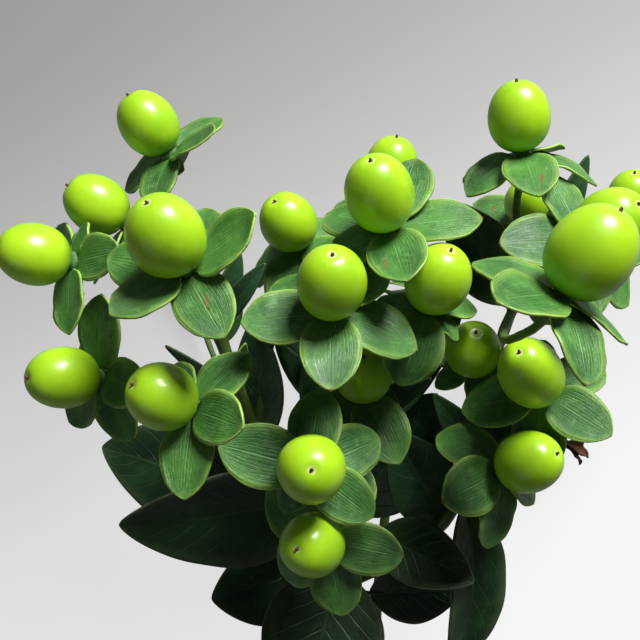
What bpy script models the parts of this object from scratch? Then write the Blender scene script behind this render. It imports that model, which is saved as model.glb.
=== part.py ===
"""A cut hypericum stem with its green berries, laid on its back.

The head is laid out in its own frame, in millimetres: x to the right, y up the stem and
z up from the surface, with the berries facing up. All meshes are in metres, round an
origin in the middle of the footprint.
"""

import math
from dataclasses import dataclass

import bmesh
import bpy
import numpy as np
from mathutils import Matrix, Vector
from mathutils.bvhtree import BVHTree
from mathutils.kdtree import KDTree

MM = 0.001
# The middle of the footprint, in the head's frame
MIDDLE = Vector((11.5, -93.0, 0.0))

# Berries and the calyx under each
BERRY_SIDES = 10
BERRY_RINGS = (0.13, 0.34, 0.55, 0.75, 0.91)
SEPALS = 5
SEPAL_WIDTH = 0.76
SEPAL_ROWS = (0.0, 0.2, 0.5, 0.8)
# Sepals overlap in turn: two lie over, two under, and the last has an edge over its
# neighbour and an edge under. Each has its lift in degrees, drop in mm and tilt in degrees
SEPAL_LAYERS = ((7, 0.0, 0), (-8, 0.7, 0), (6, 0.0, 0), (-9, 0.7, 0), (-1, 0.35, 13))
SEPAL_THICK = 0.7
SEPAL_ROOT = 24.0
HUB_RADIUS = 2.1
HUB_THICK = 1.4
GAP = 0.3
BEAK_LONG = 1.1
BEAK_RADIUS = 0.55

# Stems
STEM_SIDES = 8
TWIG_SIDES = 6
STALK_SIDES = 5
STEM_STEP = 12.0
TWIG_STEP = 8.0
PEDICEL_RADIUS = 0.85
SWELL = 1.35

# Leaves
LEAF_THICK = 0.9
LEAF_COLUMNS = 5
LEAF_ROWS = (0.0, 0.1, 0.25, 0.42, 0.6, 0.78, 0.92)
BRACT_ROWS = (0.0, 0.3, 0.6, 0.85)
BRACT_THICK = 0.7
SEAT_LIFT = 0.3
SEAT_STEP = 0.2
SEAT_STEPS = 60

# Clearance: blades are sampled every SAMPLE mm, and the samples of two blades stay
# APART mm apart, which leaves air between the blades themselves
SAMPLE = 1.2
APART = 1.9
OFF_BERRY = 0.35
OFF_STEM = 0.35
# What a crossing of two sepals of one calyx counts for, in mm of missing room
CROSSED = 5.0

GOLDEN_TURN = 2.399963


@dataclass(frozen=True)
class Berry:
    """A berry on its calyx.

    at is its centre and tip the way its point faces; across and long are its diameter and
    length. turn is the angle of the first sepal round the tip direction, from straight up
    the head and anticlockwise seen from the tip; sepal is the sepals' length, and flare
    the angle that they stand up from square to the berry, negative where they bend back.
    facing is how far they turn their upper sides to the light above.
    """

    at: tuple
    tip: tuple
    across: float
    long: float
    turn: float = 0.0
    sepal: float = 14.0
    flare: float = -18.0
    facing: float = 0.0


@dataclass(frozen=True)
class Leaf:
    """A blade from root towards end, with its upper side facing up.

    bow is the angle in degrees by which it bends down along its length, and fold the slope
    of its halves up from the midrib.
    """

    root: tuple
    end: tuple
    up: tuple
    width: float
    bow: float = 20.0
    fold: float = 0.2
    wave: float = 0.0


BERRIES = {
    "01": Berry((-35.0, 40.0, 71.0), (-0.53, 0.76, 0.37), 11.8, 13.6, -6, 12.5, -13, 0.6),
    "02": Berry((-45.5, 23.5, 71.0), (-0.77, 0.53, 0.36), 11.8, 13.6, 20, 11.0, -15),
    "03": Berry((-54.5, 12.5, 82.5), (-0.83, 0.15, 0.54), 12.0, 13.8, 50, 13.0, -8, 0.5),
    "04": Berry((-25.5, 14.0, 105.0), (-0.29, 0.67, 0.69), 13.2, 14.5, 150, 14.0, 4, 0.3),
    "05": Berry((-49.0, -11.0, 82.5), (-0.75, 0.04, 0.66), 11.8, 14.2, -12, 13.5, -3, 0.6),
    "06": Berry((-28.0, -13.5, 94.5), (-0.66, 0.38, 0.65), 12.0, 13.2, 264, 13.5, -8, 0.4),
    "07": Berry((-6.5, 20.0, 71.0), (-0.39, 0.58, 0.72), 11.6, 12.8, 250, 13.0, -18),
    "08": Berry((2.0, 6.5, 99.0), (0.01, 0.63, 0.77), 12.2, 14.0, 180, 14.5, -14),
    "09": Berry((10.5, 22.5, 94.0), (-0.25, 0.67, 0.70), 12.4, 14.9, 203, 14.5, -3),
    "10": Berry((15.5, 33.5, 60.5), (0.14, 0.91, 0.39), 11.2, 12.3, 10, 11.0, -20),
    "11": Berry((21.5, 7.5, 90.0), (0.25, 0.71, 0.66), 12.0, 13.8, 150, 13.5, -20),
    "12": Berry((8.5, -10.5, 77.0), (-0.02, 0.57, 0.82), 11.4, 12.5, 195, 14.0, -22),
    "13": Berry((-1.5, -26.0, 96.5), (0.02, 0.14, 0.99), 12.2, 13.4, 72, 14.5, -12),
    "14": Berry((-1.5, -41.5, 87.5), (-0.41, 0.11, 0.91), 12.0, 13.2, 265, 13.5, -15),
    "15": Berry((38.5, 39.5, 79.5), (-0.15, 0.90, 0.40), 12.0, 13.8, 200, 14.0, -25),
    "16": Berry((47.5, 27.0, 49.0), (-0.18, 0.51, 0.84), 10.6, 11.7, 70, 13.0, -10),
    "17": Berry((31.5, -6.0, 69.0), (-0.05, 0.57, 0.82), 11.4, 12.5, 120, 12.5, -15),
    "18": Berry((40.0, -10.0, 83.0), (-0.43, 0.48, 0.77), 12.2, 17.7, 100, 14.0, -15),
    "19": Berry((40.5, -27.5, 79.5), (0.62, 0.34, 0.71), 12.0, 13.8, 100, 14.0, -18),
    "20": Berry((42.0, 10.5, 114.0), (0.45, 0.79, 0.41), 13.6, 15.6, 86, 14.5, -16),
    "21": Berry((52.5, 17.5, 91.5), (0.43, 0.40, 0.81), 12.6, 13.9, 10, 14.0, -10),
    "22": Berry((71.0, 28.0, 50.0), (-0.13, 0.79, 0.60), 11.4, 12.5, 30, 13.0, -15),
    "23": Berry((-40.0, 22.5, 4.9), (-0.66, 0.62, -0.06), 11.8, 12.8, 30, 11.0, -14),
    "24": Berry((34.0, 14.0, 5.0), (0.45, 0.80, -0.06), 12.0, 13.0, 54, 10.0, -16),
}

# Routes of the woody stem and its branches: points in the head's frame and the radius at
# the start and the end. The first runs from the cut end to the middle of the head.
BRANCHES = (
    (((24, -232, 2.6), (21, -195, 5), (16, -155, 11), (12, -118, 20), (9, -85, 30),
      (7, -62, 38), (5, -42, 46), (4, -22, 54)), 2.9, 1.9),
    (((9, -85, 30), (0, -62, 33), (-9, -42, 43), (-14, -27, 53), (-18, -13, 62),
      (-21.5, -1, 68)), 1.9, 1.3),
    (((-14, -27, 53), (-13, -15, 55), (-11, -4, 58)), 1.2, 1.0),
    (((-18, -13, 62), (-26, -13, 68), (-33, -12.5, 71)), 1.1, 0.95),
    (((-21.5, -1, 68), (-28, 7, 71), (-34, 10.5, 73)), 1.1, 0.95),
    (((4, -22, 54), (4, -12, 61), (5, -3, 68)), 1.5, 1.2),
    (((7, -62, 38), (2, -52, 52), (-0.5, -43, 64)), 1.6, 1.2),
    (((7, -62, 38), (18, -56, 43), (28, -46, 49), (35, -30, 58)), 1.9, 1.4),
    (((28, -46, 49), (36, -24, 47), (42, -2, 50), (46, 8, 55)), 1.4, 1.1),
    (((12, -118, 20), (0, -85, 13), (-16, -48, 9), (-28, -14, 6.8)), 1.6, 1.1),
    (((12, -118, 20), (15, -82, 12), (19, -46, 9), (27, -20, 6.8)), 1.6, 1.1),
)

# The stalk of each berry leaves a branch at the first point and passes the others
STALKS = {
    "01": ((-34, 10.5, 73), (-36.5, 20, 62), (-36, 29, 60)),
    "02": ((-34, 10.5, 73), (-36, 15.5, 68)),
    "03": ((-34, 10.5, 73), (-41, 11.5, 75)),
    "04": ((-21.5, -1, 68), (-21.5, 3, 82)),
    "05": ((-33, -12.5, 71), (-38, -12, 73.5)),
    "06": ((-26, -13, 68), (-22.5, -16, 76)),
    "07": ((-11, -4, 58), (-7, 7, 60)),
    "08": ((5, -3, 68), (2.5, 0, 80)),
    "09": ((5, -3, 68), (12, 9, 76)),
    "10": ((5, -3, 68), (13, 10, 58), (14.5, 20, 55)),
    "11": ((5, -3, 68), (15, -3, 74)),
    "12": ((4, -12, 61), (8, -16.5, 65)),
    "13": ((-0.5, -43, 64), (-2.5, -31, 76)),
    "14": ((-0.5, -43, 64), (3, -44, 73)),
    "15": ((46, 8, 55), (41.5, 22, 64)),
    "16": ((42, -2, 50), (49, 12, 38)),
    "17": ((35, -30, 58), (32.5, -17, 59)),
    "18": ((35, -30, 58), (46, -19, 64)),
    "19": ((35, -30, 58), (32.5, -32.5, 66)),
    "20": ((46, 8, 55), (35, -3, 82), (35.5, -2, 100)),
    "21": ((46, 8, 55), (47, 12, 72)),
    "22": ((46, 8, 55), (62, 14, 44), (71, 19, 39)),
    "23": ((-28, -14, 6.8), (-34, 4, 6.4)),
    "24": ((27, -20, 6.8), (30, -4, 6.4)),
}

# The large leaves of the stem, upper side facing up
LEAVES = {
    "01": Leaf((4.8, -40, 46.5), (-41, -44, 58), (0.0, -0.35, 0.94), 24.0, -12, 0.28, 0.6),
    "02": Leaf((-9, -42, 43), (-51, -32, 33), (0.1, 0.05, 1.0), 25.0, 12, 0.15, 0.5),
    "03": Leaf((-1, -60, 33.5), (-23, -65, 42), (0.3, 0.1, 0.9), 20.0, 15, 0.2, 0.3),
    "04": Leaf((6, -50, 42.7), (-2, -79, 55), (0.1, 0.35, 0.9), 27.0, 25, 0.25, 0.4),
    "05": Leaf((7.3, -66, 36.7), (29, -64, 40), (-0.1, 0.0, 1.0), 14.0, 20, 0.2, 0.3),
    "06": Leaf((32.3, -38, 53), (30, -70, 50), (0.5, 0.15, 0.85), 16.0, 60, 0.3, 0.5),
    "07": Leaf((5.3, -46, 44.5), (24, -53, 57), (0.0, 0.3, 0.95), 14.0, 25, 0.25, 0.4),
    "08": Leaf((43, 2, 52), (30, 24, 57), (0.1, -0.2, 1.0), 15.0, 15, 0.25, 0.4),
    "09": Leaf((12, -118, 20), (-28, -108, 30), (0.1, 0.0, 1.0), 22.0, 20, 0.25, 0.5),
    "10": Leaf((12, -118, 20), (51, -110, 26), (-0.1, 0.0, 1.0), 22.0, 20, 0.25, 0.5),
}

# Leaves of the inner stem and at the forks, grown into the stem
BRACTS = (
    Leaf((-13, -28, 52), (-14, 0, 64), (-0.1, -0.3, 0.9), 11.0, -15, 0.35, 0.2),
    Leaf((4, -27, 52), (33, 12, 50), (-0.2, -0.2, 0.95), 18.0, 15, 0.3, 0.3),
    Leaf((4, -22, 54), (-5, 19, 48), (0.0, -0.1, 1.0), 20.0, 20, 0.25, 0.4),
    Leaf((7, -45, 44), (26, -17, 53), (-0.1, -0.1, 1.0), 21.0, 20, 0.25, 0.3),
    Leaf((6, -48, 42), (-18, -24, 44), (0.1, -0.1, 1.0), 17.0, 20, 0.25, 0.3),
    Leaf((4, -30, 50), (2, 2, 58), (0.0, -0.3, 0.95), 15.0, 25, 0.25, 0.3),
    Leaf((35, -31, 57), (48, -6, 58), (0.1, -0.3, 0.95), 13.0, 20, 0.25, 0.3),
    Leaf((-21.5, 0, 69), (-16, 13, 74), (0.2, -0.3, 0.9), 5.0, 25, 0.3),
    Leaf((-21, -1, 68.5), (-11, 11, 76), (-0.3, -0.2, 0.9), 4.5, 20, 0.3),
    Leaf((-20.5, -5, 66), (-17, 7, 64), (0.9, 0.0, 0.4), 6.0, 10, 0.3),
    Leaf((-15, -21, 57), (-33, -6, 61), (-0.2, -0.8, 0.5), 6.0, -20, 0.3),
    Leaf((-18, -13, 62), (-15.5, -5, 66), (0.3, -0.3, 0.9), 3.0, -10, 0.2),
    Leaf((-34, 11, 73), (-35.5, 15.5, 78), (0.6, 0.1, 0.6), 2.2, 5, 0.2),
    Leaf((4, -21, 55), (22, -12, 73), (-0.3, -0.5, 0.8), 7.0, 20, 0.3),
    Leaf((35, -29, 57), (24, -16, 67), (0.2, -0.4, 0.9), 6.5, 30, 0.3),
    Leaf((46, 8, 55), (56, 34, 66), (0.0, -0.4, 0.9), 7.0, 20, 0.3),
    Leaf((28, -46, 49), (16, -25, 56), (0.3, -0.1, 0.95), 16.0, 20, 0.3),
)

GREEN = {
    "stem": ((0.110, 0.185, 0.035), 0.50),
    "berry": ((0.270, 0.520, 0.018), 0.22),
    "calyx": ((0.090, 0.240, 0.050), 0.40),
    "leaf": ((0.018, 0.062, 0.018), 0.45),
}


def clear_scene():
    """Removes whatever the file already holds."""
    for old in list(bpy.data.objects):
        bpy.data.objects.remove(old, do_unlink=True)


def material(kind):
    """The finish of one kind of piece, made once."""
    name = f"{kind}_green"
    found = bpy.data.materials.get(name)
    if found:
        return found
    colour, roughness = GREEN[kind]
    made = bpy.data.materials.new(name)
    made.use_nodes = True
    shader = made.node_tree.nodes["Principled BSDF"]
    shader.inputs["Base Color"].default_value = (*colour, 1.0)
    shader.inputs["Roughness"].default_value = roughness
    shader.inputs["Metallic"].default_value = 0.0
    return made


def solid(name, points, faces, kind, matrix=None):
    """A new object of this mesh, given in mm, facing outwards and shaded smooth."""
    mesh = bpy.data.meshes.new(name)
    mesh.from_pydata([Vector(p) * MM for p in points], [], faces)
    work = bmesh.new()
    work.from_mesh(mesh)
    bmesh.ops.recalc_face_normals(work, faces=work.faces)
    work.to_mesh(mesh)
    work.free()
    mesh.shade_smooth()
    mesh.materials.append(material(kind))
    made = bpy.data.objects.new(name, mesh)
    if matrix is not None:
        made.matrix_world = matrix
    bpy.context.scene.collection.objects.link(made)
    return made


def fuse(name, pieces, solver="EXACT"):
    """Joins the pieces into the first by one union, and removes the others."""
    whole, others = pieces[0], pieces[1:]
    group = bpy.data.collections.new(f"{name}_pieces")
    bpy.context.scene.collection.children.link(group)
    for piece in others:
        group.objects.link(piece)
        bpy.context.scene.collection.objects.unlink(piece)
    union = whole.modifiers.new("union", "BOOLEAN")
    union.operation = "UNION"
    union.operand_type = "COLLECTION"
    union.collection = group
    union.solver = solver
    bpy.context.view_layer.update()
    graph = bpy.context.evaluated_depsgraph_get()
    joined = bpy.data.meshes.new_from_object(whole.evaluated_get(graph))
    whole.modifiers.clear()
    whole.data = joined
    joined.name = whole.name = name
    for piece in others:
        bpy.data.objects.remove(piece, do_unlink=True)
    bpy.data.collections.remove(group)
    whole.data.shade_smooth()
    return whole


def ring_faces(rings, sides):
    """Triangles between rings of points, with a fan over each end."""
    faces = []
    for row in range(rings - 1):
        for side in range(sides):
            a = row * sides + side
            b = row * sides + (side + 1) % sides
            faces += [(a, b, b + sides), (a, b + sides, a + sides)]
    last = (rings - 1) * sides
    for side in range(1, sides - 1):
        faces.append((0, side + 1, side))
        faces.append((last, last + side, last + side + 1))
    return faces


def heading_frame(tip):
    """Rotation whose Z is the tip direction, and X the way up the head square to it."""
    z = Vector(tip).normalized()
    x = (Vector((0, 1, 0)) - z * z.y).normalized()
    y = z.cross(x)
    return Matrix((x, y, z)).transposed()


def to_world(point):
    """A point of the head's frame as a place in the scene, in metres."""
    return (Vector(point) - MIDDLE) * MM


def berry_base(berry):
    """The foot of the berry, where its calyx sits."""
    return Vector(berry.at) - Vector(berry.tip).normalized() * (berry.long / 2)


def berry_outline(berry):
    """Radius and height of the berry's rings, from its foot to the tip of its beak."""
    half, radius = berry.long / 2, berry.across / 2
    outline = []
    for step in BERRY_RINGS:
        angle = math.pi * step
        height = -math.cos(angle)
        plump = math.sin(angle) ** 0.9 * (1 - 0.05 * height)
        outline.append((radius * plump, half * height))
    outline.append((BEAK_RADIUS, half * 0.985))
    outline.append((BEAK_RADIUS * 0.6, half + BEAK_LONG * 0.6))
    return outline


def make_berry(key, berry):
    """One berry with the stub of its style, flattened where it rests on the surface."""
    points = []
    turn = heading_frame(berry.tip)
    floor = -berry.at[2]
    for radius, height in berry_outline(berry):
        for side in range(BERRY_SIDES):
            angle = 2 * math.pi * side / BERRY_SIDES
            point = Vector((radius * math.cos(angle), radius * math.sin(angle), height))
            placed = turn @ point
            if placed.z < floor:
                placed.z = floor
                point = turn.transposed() @ placed
            points.append(point)
    rings = len(points) // BERRY_SIDES
    matrix = Matrix.Translation(to_world(berry.at)) @ turn.to_4x4()
    return solid(f"berry_{key}", points, ring_faces(rings, BERRY_SIDES), "berry", matrix)


class Blade:
    """A thin arched blade: a sepal, bract or leaf.

    It runs from root along `along`, with its upper side facing `up`. Its slope to `along`
    goes from lift to lift + bend, in radians. width is its greatest width, and shape the
    width at each share of its length. cup raises the edges and wave ripples them.
    """

    def __init__(self, root, along, up, length, width, lift=0.0, bend=0.0, cup=0.0,
                 fold=0.0, wave=0.0, stub=0.45, late=0.85, blunt=0.7, phase=0.0):
        self.root = Vector(root)
        self.along = Vector(along).normalized()
        up = Vector(up)
        self.up = (up - self.along * up.dot(self.along)).normalized()
        self.side = self.along.cross(self.up)
        self.length, self.width = length, width
        self.lift, self.bend = lift, bend
        self.cup, self.fold, self.wave = cup, fold, wave
        self.stub, self.late = stub, late
        self.blunt, self.phase = blunt, phase

    def half_width(self, share):
        """Half the blade's width at this share of its length."""
        body = max(math.sin(math.pi * share ** self.late), 0.0) ** self.blunt
        stub = self.stub * (1 - share) ** 3
        return self.width / 2 * max(body, stub) if share < 1 else 0.0

    def line(self, share):
        """The midrib's point and the blade's normal there."""
        steps = 12
        point = self.root.copy()
        for step in range(steps):
            angle = self.lift + self.bend * share * (step + 0.5) / steps
            point += (self.along * math.cos(angle) + self.up * math.sin(angle)) * (
                self.length * share / steps
            )
        angle = self.lift + self.bend * share
        return point, self.up * math.cos(angle) - self.along * math.sin(angle)

    def surface(self, share, across):
        """The upper surface's point, with across from -1 to 1 over the width."""
        point, normal = self.line(share)
        half = self.half_width(share)
        rise = half * (self.cup * across * across + self.fold * abs(across))
        ripple = math.sin(share * 9 + self.phase + (2.0 if across > 0 else 0.0))
        rise += self.wave * abs(across) * ripple * math.sin(math.pi * share)
        return point + self.side * (half * across) + normal * rise, normal

    def samples(self):
        """Points spread over the blade, about SAMPLE mm apart, half its thickness in."""
        rows = max(int(self.length / SAMPLE), 3)
        found = []
        for row in range(1, rows + 1):
            share = row / rows
            half = self.half_width(share)
            count = max(int(half / SAMPLE), 1)
            for step in range(-count, count + 1):
                point, normal = self.surface(share, step / count)
                found.append(point - normal * (SEPAL_THICK / 2))
        return np.array([tuple(p) for p in found])

    def mesh(self, rows, thick, columns=3):
        """Points and triangles of the closed blade, split alike on both faces."""
        acrosses = [2 * c / (columns - 1) - 1 for c in range(columns)]
        top, under = [], []
        for share in rows:
            for across in acrosses:
                point, normal = self.surface(share, across)
                top.append(point)
                under.append(point - normal * thick)
        point, normal = self.surface(1.0, 0.0)
        top.append(point)
        under.append(point - normal * thick)
        count = len(top)
        faces = []
        for row in range(len(rows) - 1):
            for column in range(columns - 1):
                a = row * columns + column
                b, c, d = a + 1, a + columns + 1, a + columns
                faces += [(a, b, c), (a, c, d)]
                faces += [(a + count, c + count, b + count)]
                faces += [(a + count, d + count, c + count)]
        last = (len(rows) - 1) * columns
        for column in range(columns - 1):
            a, b = last + column, last + column + 1
            faces += [(a, b, count - 1), (a + count, 2 * count - 1, b + count)]
        rim = [r * columns for r in range(len(rows))] + [count - 1]
        rim += [r * columns + columns - 1 for r in reversed(range(len(rows)))]
        rim += list(range(columns - 2, 0, -1))
        for here, there in zip(rim, rim[1:] + rim[:1]):
            faces += [(here, there, there + count), (here, there + count, here + count)]
        return top + under, faces


class Space:
    """What is already placed: berries, stems and the samples of blades."""

    def __init__(self):
        self.tubes = []
        self.points = []
        self.tree = None

    def add_tube(self, start, end, radius):
        self.tubes.append((np.array(start), np.array(end), radius))

    def add_points(self, points):
        self.points.extend(points.tolist())
        self.tree = KDTree(len(self.points))
        for index, point in enumerate(self.points):
            self.tree.insert(point, index)
        self.tree.balance()

    def room(self, points, berry_margin=OFF_BERRY, stem_margin=OFF_STEM, stem_too=True):
        """How far the points stand clear of everything, less what each thing needs."""
        least = 99.0
        for berry in BERRIES.values():
            turn = np.array(heading_frame(berry.tip))
            local = (points - np.array(berry.at)) @ turn
            radii = np.array((berry.across / 2, berry.across / 2, berry.long / 2))
            scale = np.linalg.norm(local / radii, axis=1)
            gap = np.linalg.norm(local, axis=1) * (1 - 1 / np.maximum(scale, 1e-6))
            least = min(least, gap.min() - berry_margin - SEPAL_THICK / 2)
        if stem_too:
            for start, end, radius in self.tubes:
                run = end - start
                along = np.clip((points - start) @ run / (run @ run), 0, 1)
                gap = np.linalg.norm(points - start - along[:, None] * run, axis=1)
                least = min(least, gap.min() - radius - stem_margin - SEPAL_THICK / 2)
        if self.tree:
            for point in points:
                least = min(least, self.tree.find(point)[2] - APART)
        least = min(least, points[:, 2].min() - 1.0)
        return least


def smooth_route(points, step):
    """Points about step mm apart on a smooth curve through the given ones."""
    given = [Vector(p) for p in points]
    ends = [given[0] * 2 - given[1], *given, given[-1] * 2 - given[-2]]
    route = []
    for before, start, end, after in zip(ends, ends[1:], ends[2:], ends[3:]):
        count = max(round((end - start).length / step), 1)
        for index in range(count):
            t = index / count
            route.append(0.5 * (
                2 * start
                + (end - before) * t
                + (2 * before - 5 * start + 4 * end - after) * t ** 2
                + (3 * start - before - 3 * end + after) * t ** 3
            ))
    route.append(given[-1])
    return route


def tube(name, route, radii, sides):
    """A round tube along the route, with nothing below the surface."""
    points = []
    side = None
    for index, here in enumerate(route):
        ahead = route[min(index + 1, len(route) - 1)] - route[max(index - 1, 0)]
        ahead.normalize()
        if side is None:
            side = ahead.cross(Vector((0.0, 0.0, 1.0))).normalized()
        side = (side - ahead * side.dot(ahead)).normalized()
        other = ahead.cross(side)
        for corner in range(sides):
            angle = 2 * math.pi * (corner + 0.5) / sides
            place = here + (side * math.cos(angle) + other * math.sin(angle)) * radii[index]
            place.z = max(place.z, 0.0)
            points.append(place - MIDDLE)
    return solid(name, points, ring_faces(len(route), sides), "stem")


def tapered(route, start, end, knots=0.0):
    """Radii along a route, with a swelling where it begins."""
    count = len(route) - 1
    radii = [start + (end - start) * i / count for i in range(count + 1)]
    if knots:
        for index in range(0, count + 1, 4):
            radii[index] *= knots
    return radii


def stalk_route(key):
    """The stalk of a berry: from its branch to just short of its calyx."""
    berry = BERRIES[key]
    back = Vector(berry.tip).normalized()
    end = berry_base(berry) - back * (HUB_THICK + 2 * GAP)
    return [*STALKS[key], tuple(end - back * 2.5), tuple(end)]


def knob(name, place, radius):
    """A swollen fork."""
    ball = bpy.data.meshes.new(name)
    work = bmesh.new()
    bmesh.ops.create_icosphere(work, subdivisions=1, radius=radius * MM)
    work.to_mesh(ball)
    work.free()
    ball.materials.append(material("stem"))
    made = bpy.data.objects.new(name, ball)
    made.location = to_world(place)
    bpy.context.scene.collection.objects.link(made)
    return made


def leaf_blade(leaf, bow=0.0, stub=0.12):
    """The blade of a leaf or bract, which bends down by its bow on the way to its end."""
    root, end = Vector(leaf.root), Vector(leaf.end)
    bend = -math.radians(leaf.bow + bow)
    length = (end - root).length * (1 + (leaf.bow / 130) ** 2)
    return Blade(root, end - root, leaf.up, length, leaf.width, -bend / 2, bend,
                 0.0, leaf.fold, leaf.wave, stub, 0.85, 0.75, leaf.root[0])


def make_stem(space):
    """The branched stem with its stalks and small leaves, as one body."""
    pieces = []
    for index, (points, start, end) in enumerate(BRANCHES):
        step = STEM_STEP if index == 0 else TWIG_STEP
        route = smooth_route(points, step)
        radii = tapered(route, start, end, 1.18 if index == 0 else 0.0)
        sides = STEM_SIDES if index == 0 else TWIG_SIDES
        pieces.append(tube(f"branch_{index}", route, radii, sides))
        for here, there, radius in zip(route, route[1:], radii):
            space.add_tube(here, there, radius)
        pieces.append(knob(f"fork_{index}", points[-1], end * SWELL))
    for key in BERRIES:
        route = smooth_route(stalk_route(key), TWIG_STEP)
        radii = tapered(route, PEDICEL_RADIUS, PEDICEL_RADIUS)
        radii[-1] = PEDICEL_RADIUS * 1.4
        pieces.append(tube(f"stalk_{key}", route, radii, STALK_SIDES))
        for here, there in zip(route, route[1:]):
            space.add_tube(here, there, PEDICEL_RADIUS * 1.1)
    for index, leaf in enumerate(BRACTS):
        blade = leaf_blade(leaf, stub=0.3)
        points, faces = blade.mesh(BRACT_ROWS, BRACT_THICK)
        shifted = [p - MIDDLE for p in points]
        pieces.append(solid(f"bract_{index}", shifted, faces, "stem"))
        space.add_points(blade.samples())
    return fuse("stem", pieces, "MANIFOLD")


def skin_of(piece):
    """The stem's triangles in the head's frame, to measure from."""
    piece.data.calc_loop_triangles()
    points = [vertex.co / MM + MIDDLE for vertex in piece.data.vertices]
    faces = [tuple(triangle.vertices) for triangle in piece.data.loop_triangles]
    return BVHTree.FromPolygons(points, faces)


def seat(blade, stem):
    """Slides a leaf out of the stem until just clear of it, and says if it can be."""
    way = (blade.along + blade.up * SEAT_LIFT).normalized()
    for step in range(SEAT_STEPS):
        points, faces = blade.mesh(LEAF_ROWS, LEAF_THICK, LEAF_COLUMNS)
        if not BVHTree.FromPolygons(points, faces).overlap(stem):
            if min(stem.find_nearest(point)[3] for point in points) >= GAP:
                return True
        blade.root += way * SEAT_STEP
    return False


def make_leaf(key, leaf, space, stem):
    """One large leaf, seated on the stem and bowed until it is clear of the rest."""
    best = None
    for bow in (0, 10, -10, 20, -20, 30):
        blade = leaf_blade(leaf, bow)
        room = space.room(blade.samples(), stem_too=False)
        if not seat(blade, stem):
            room -= CROSSED
        if best is None or room > best[0]:
            best = (room, blade)
        if room >= 0:
            break
    blade = best[1]
    space.add_points(blade.samples())
    points, faces = blade.mesh(LEAF_ROWS, LEAF_THICK, LEAF_COLUMNS)
    local = [p - blade.root for p in points]
    matrix = Matrix.Translation(to_world(blade.root))
    return solid(f"leaf_{key}", local, faces, "leaf", matrix)


def sepal_angle(berry, number):
    """The angle of a sepal round the berry, with its small irregularity in radians."""
    vary = math.sin(GOLDEN_TURN * 3 * number + berry.turn + berry.at[0])
    return math.radians(berry.turn + 360 / SEPALS * number + 4 * vary), vary


def sepal_blade(berry, number, lift, turn, scale):
    """One sepal in the calyx's own frame: origin at the berry's foot, Z to its tip."""
    layer_lift, drop, layer_tilt = SEPAL_LAYERS[number]
    angle, vary = sepal_angle(berry, number)
    root = Vector((math.cos(angle), math.sin(angle), 0.0)) * HUB_RADIUS
    root.z = -GAP - drop
    angle += math.radians(turn)
    along = Vector((math.cos(angle), math.sin(angle), 0.0))
    side = Vector((-math.sin(angle), math.cos(angle), 0.0))
    tilt = math.radians(layer_tilt)
    up = Vector((0.0, 0.0, 1.0)) * math.cos(tilt) + side * math.sin(tilt)
    light = heading_frame(berry.tip).transposed() @ Vector((0.0, 0.0, 1.0))
    up += light * berry.facing
    length = berry.sepal * scale * (1 + 0.08 * vary)
    flare = math.radians(berry.flare + lift + layer_lift + 3 * vary)
    stub = math.sin(math.radians(SEPAL_ROOT)) * HUB_RADIUS * 2 / (length * SEPAL_WIDTH)
    return Blade(root, along, up, length, length * SEPAL_WIDTH, flare * 0.5,
                 flare, 0.10, 0.0, 0.3, stub, 0.85, 0.5, vary * 3)


def sepal_tries():
    """Changes of lift, turn and size to try, the smallest first."""
    tries = []
    for scale in (1.0, 0.88, 0.76, 0.64, 0.52):
        for lift in (0, -14, 14, -28, 28, -42):
            for turn in (0, -9, 9, -18, 18):
                cost = (1 - scale) * 80 + abs(lift) + abs(turn)
                tries.append((cost, lift, turn, scale))
    return [t[1:] for t in sorted(tries)]


def strip(left, right, points):
    """Triangles between two upright chains of points, given from the top down."""
    faces, i, j = [], 0, 0
    while i < len(left) - 1 or j < len(right) - 1:
        drop_left = points[left[min(i + 1, len(left) - 1)]].z
        drop_right = points[right[min(j + 1, len(right) - 1)]].z
        take_left = j == len(right) - 1 or (i < len(left) - 1 and drop_left >= drop_right)
        if take_left:
            faces.append((left[i], left[i + 1], right[j]))
            i += 1
        else:
            faces.append((left[i], right[j + 1], right[j]))
            j += 1
    return faces


def rooted_mesh(berry, number, blade):
    """A sepal's points and triangles, with its root on the side of the calyx's disc."""
    points, faces = blade.mesh(SEPAL_ROWS, SEPAL_THICK)
    count = len(points) // 2
    angle, drop = sepal_angle(berry, number)[0], SEPAL_LAYERS[number][1]
    for column, turn in enumerate((1, 0, -1)):
        around = angle + math.radians(SEPAL_ROOT) * turn
        rim = Vector((math.cos(around), math.sin(around), 0.0)) * HUB_RADIUS
        points[column] = Vector((rim.x, rim.y, -GAP - drop))
        points[column + count] = Vector((rim.x, rim.y, -GAP - drop - SEPAL_THICK))
    return points, faces


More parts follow.
